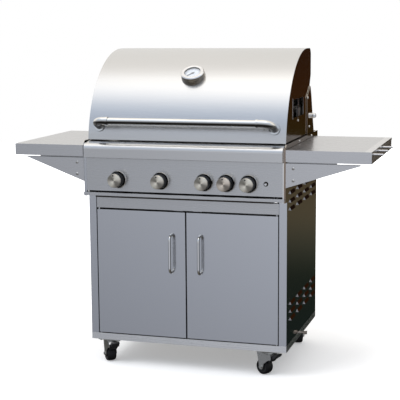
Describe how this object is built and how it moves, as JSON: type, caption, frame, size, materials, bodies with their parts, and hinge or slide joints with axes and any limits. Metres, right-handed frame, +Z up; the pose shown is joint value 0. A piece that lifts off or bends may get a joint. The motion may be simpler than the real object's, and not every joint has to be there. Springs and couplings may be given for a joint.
{
  "type": "gas barbecue grill",
  "caption": "Stainless gas barbecue on a two-door cabinet cart with arched hinged hood, control knobs, side shelves, slide-out grease tray and swivel casters.",
  "frame": {"origin": "middle of the footprint at floor level", "axes": "+X to the right along the shelves, +Y to the back, +Z up"},
  "size_m": [1.472, 0.6736, 1.271],
  "materials": {
    "sheet": "brushed stainless sheet",
    "polished": "polished stainless",
    "interior_steel": "satin stainless, heat tinted",
    "rod_steel": "drawn stainless rod",
    "knob_metal": "spun satin metal cap over a black core",
    "brass": "turned brass",
    "zinc": "bright zinc plate",
    "wheel_rubber": "black rubber",
    "pedal_plastic": "black moulded nylon",
    "button_metal": "polished cap",
    "gauge_metal": "turned steel drum with a printed dial and glass",
    "needle_paint": "black paint",
    "fastener_steel": "bright stainless heads"
  },
  "bodies": {
    "root": {"cart_base_pan": "sheet", "cart_left_side": "sheet", "cart_right_side": "sheet", "cart_rear_panel": "sheet", "cart_rails": "sheet", "hinge_hardware": "polished", "caster_plates": "zinc", "head_left_side": "sheet", "head_right_side": "sheet", "firebox": "interior_steel", "rear_cowl": "sheet", "front_bullnose": "sheet", "control_panel": "sheet", "knob_bezels": "polished", "gas_manifold": "interior_steel", "burner_controls": "brass", "burners": "interior_steel", "flame_tamers": "interior_steel", "cooking_grates": "rod_steel", "warming_rack": "rod_steel", "left_shelf": "sheet", "right_shelf": "sheet", "tool_hook_rail": "sheet", "shelf_brackets": "sheet", "fasteners": "fastener_steel"},
    "hood": {"hood_skin": "sheet", "hood_left_cap": "sheet", "hood_right_cap": "sheet", "hood_handle_tube": "polished", "hood_handle_ends": "polished", "hood_gauge": "gauge_metal", "hood_bolts": "fastener_steel"},
    "needle": {"gauge_needle": "needle_paint"},
    "left_door": {"left_door": "sheet", "left_door_handle": "polished"},
    "right_door": {"right_door": "sheet", "right_door_handle": "polished"},
    "grease_tray": {"grease_tray": "sheet"},
    "tank_screw": {"tank_screw": "rod_steel"},
    "ignition_button": {"ignition_button": "button_metal"},
    "stem_1": {"valve_stem_1": "brass"},
    "knob_1": {"knob_1": "knob_metal"},
    "stem_2": {"valve_stem_2": "brass"},
    "knob_2": {"knob_2": "knob_metal"},
    "stem_3": {"valve_stem_3": "brass"},
    "knob_3": {"knob_3": "knob_metal"},
    "stem_4": {"valve_stem_4": "brass"},
    "knob_4": {"knob_4": "knob_metal"},
    "stem_5": {"valve_stem_5": "brass"},
    "knob_5": {"knob_5": "knob_metal"},
    "caster_fork_1": {"caster_fork_1": "zinc"},
    "caster_wheel_1": {"caster_wheel_1": "wheel_rubber"},
    "caster_fork_2": {"caster_fork_2": "zinc"},
    "caster_wheel_2": {"caster_wheel_2": "wheel_rubber"},
    "caster_fork_3": {"caster_fork_3": "zinc"},
    "caster_wheel_3": {"caster_wheel_3": "wheel_rubber"},
    "caster_fork_4": {"caster_fork_4": "zinc"},
    "caster_wheel_4": {"caster_wheel_4": "wheel_rubber"},
    "brake_pedal_1": {"brake_pedal_1": "pedal_plastic"},
    "brake_pedal_2": {"brake_pedal_2": "pedal_plastic"}
  },
  "joints": [
    {"name": "hood_hinge", "type": "hinge", "parent": "root", "child": "hood", "pos_m": [-0.035, 0.16125, 0.997], "axis": [-1, 0, 0], "range_deg": [0, 85]},
    {"name": "gauge_needle_turn", "type": "hinge", "parent": "hood", "child": "needle", "pos_m": [-0.035, -0.13305, 1.1665], "axis": [0, 0.5446, -0.8387], "range_deg": [0, 270], "stiffness_Nm_per_rad": 0.001},
    {"name": "left_door_hinge", "type": "hinge", "parent": "root", "child": "left_door", "pos_m": [-0.4, -0.24375, 0.39], "axis": [0, 0, -1], "range_deg": [0, 110]},
    {"name": "right_door_hinge", "type": "hinge", "parent": "root", "child": "right_door", "pos_m": [0.33, -0.24375, 0.39], "axis": [0, 0, 1], "range_deg": [0, 110]},
    {"name": "tray_slide", "type": "slide", "parent": "root", "child": "grease_tray", "axis": [0, -1, 0], "range_m": [0, 0.3]},
    {"name": "tank_screw_turn", "type": "hinge", "parent": "root", "child": "tank_screw", "pos_m": [0.365, 0.01925, 0.117], "axis": [1, 0, 0], "range_deg": [0, 1080]},
    {"name": "ignition_push", "type": "slide", "parent": "root", "child": "ignition_button", "axis": [0, 1, 0], "range_m": [0, 0.004], "stiffness_N_per_m": 800},
    {"name": "knob_1_push", "type": "slide", "parent": "root", "child": "stem_1", "axis": [0, 1, 0], "range_m": [0, 0.003], "stiffness_N_per_m": 1500},
    {"name": "knob_1_turn", "type": "hinge", "parent": "stem_1", "child": "knob_1", "pos_m": [-0.3, -0.31775, 0.77], "axis": [0, -1, 0], "range_deg": [0, 225]},
    {"name": "knob_2_push", "type": "slide", "parent": "root", "child": "stem_2", "axis": [0, 1, 0], "range_m": [0, 0.003], "stiffness_N_per_m": 1500},
    {"name": "knob_2_turn", "type": "hinge", "parent": "stem_2", "child": "knob_2", "pos_m": [-0.1233, -0.31775, 0.77], "axis": [0, -1, 0], "range_deg": [0, 225]},
    {"name": "knob_3_push", "type": "slide", "parent": "root", "child": "stem_3", "axis": [0, 1, 0], "range_m": [0, 0.003], "stiffness_N_per_m": 1500},
    {"name": "knob_3_turn", "type": "hinge", "parent": "stem_3", "child": "knob_3", "pos_m": [0.0533, -0.31775, 0.77], "axis": [0, -1, 0], "range_deg": [0, 225]},
    {"name": "knob_4_push", "type": "slide", "parent": "root", "child": "stem_4", "axis": [0, 1, 0], "range_m": [0, 0.003], "stiffness_N_per_m": 1500},
    {"name": "knob_4_turn", "type": "hinge", "parent": "stem_4", "child": "knob_4", "pos_m": [0.1417, -0.31775, 0.77], "axis": [0, -1, 0], "range_deg": [0, 225]},
    {"name": "knob_5_push", "type": "slide", "parent": "root", "child": "stem_5", "axis": [0, 1, 0], "range_m": [0, 0.003], "stiffness_N_per_m": 1500},
    {"name": "knob_5_turn", "type": "hinge", "parent": "stem_5", "child": "knob_5", "pos_m": [0.23, -0.31775, 0.77], "axis": [0, -1, 0], "range_deg": [0, 225]},
    {"name": "caster_1_swivel", "type": "hinge", "parent": "root", "child": "caster_fork_1", "pos_m": [-0.367, -0.21375, 0.09], "axis": [0, 0, 1], "continuous": true},
    {"name": "caster_1_roll", "type": "hinge", "parent": "caster_fork_1", "child": "caster_wheel_1", "pos_m": [-0.38525, -0.19121, 0.032], "axis": [-0.7771, -0.6293, 0], "continuous": true},
    {"name": "brake_1_pedal", "type": "hinge", "parent": "caster_fork_1", "child": "brake_pedal_1", "pos_m": [-0.35693, -0.22618, 0.074], "axis": [0.7771, 0.6293, 0], "range_deg": [0, 18]},
    {"name": "caster_2_swivel", "type": "hinge", "parent": "root", "child": "caster_fork_2", "pos_m": [0.297, -0.21375, 0.09], "axis": [0, 0, 1], "continuous": true},
    {"name": "caster_2_roll", "type": "hinge", "parent": "caster_fork_2", "child": "caster_wheel_2", "pos_m": [0.27188, -0.19925, 0.032], "axis": [-0.5, -0.866, 0], "continuous": true},
    {"name": "brake_2_pedal", "type": "hinge", "parent": "caster_fork_2", "child": "brake_pedal_2", "pos_m": [0.31086, -0.22175, 0.074], "axis": [0.5, 0.866, 0], "range_deg": [0, 18]},
    {"name": "caster_3_swivel", "type": "hinge", "parent": "root", "child": "caster_fork_3", "pos_m": [-0.367, 0.29825, 0.09], "axis": [0, 0, 1], "continuous": true},
    {"name": "caster_3_roll", "type": "hinge", "parent": "caster_fork_3", "child": "caster_wheel_3", "pos_m": [-0.37926, 0.27197, 0.032], "axis": [0.9063, -0.4226, 0], "continuous": true},
    {"name": "caster_4_swivel", "type": "hinge", "parent": "root", "child": "caster_fork_4", "pos_m": [0.297, 0.29825, 0.09], "axis": [0, 0, 1], "continuous": true},
    {"name": "caster_4_roll", "type": "hinge", "parent": "caster_fork_4", "child": "caster_wheel_4", "pos_m": [0.30692, 0.271, 0.032], "axis": [0.9397, 0.342, 0], "continuous": true}
  ]
}
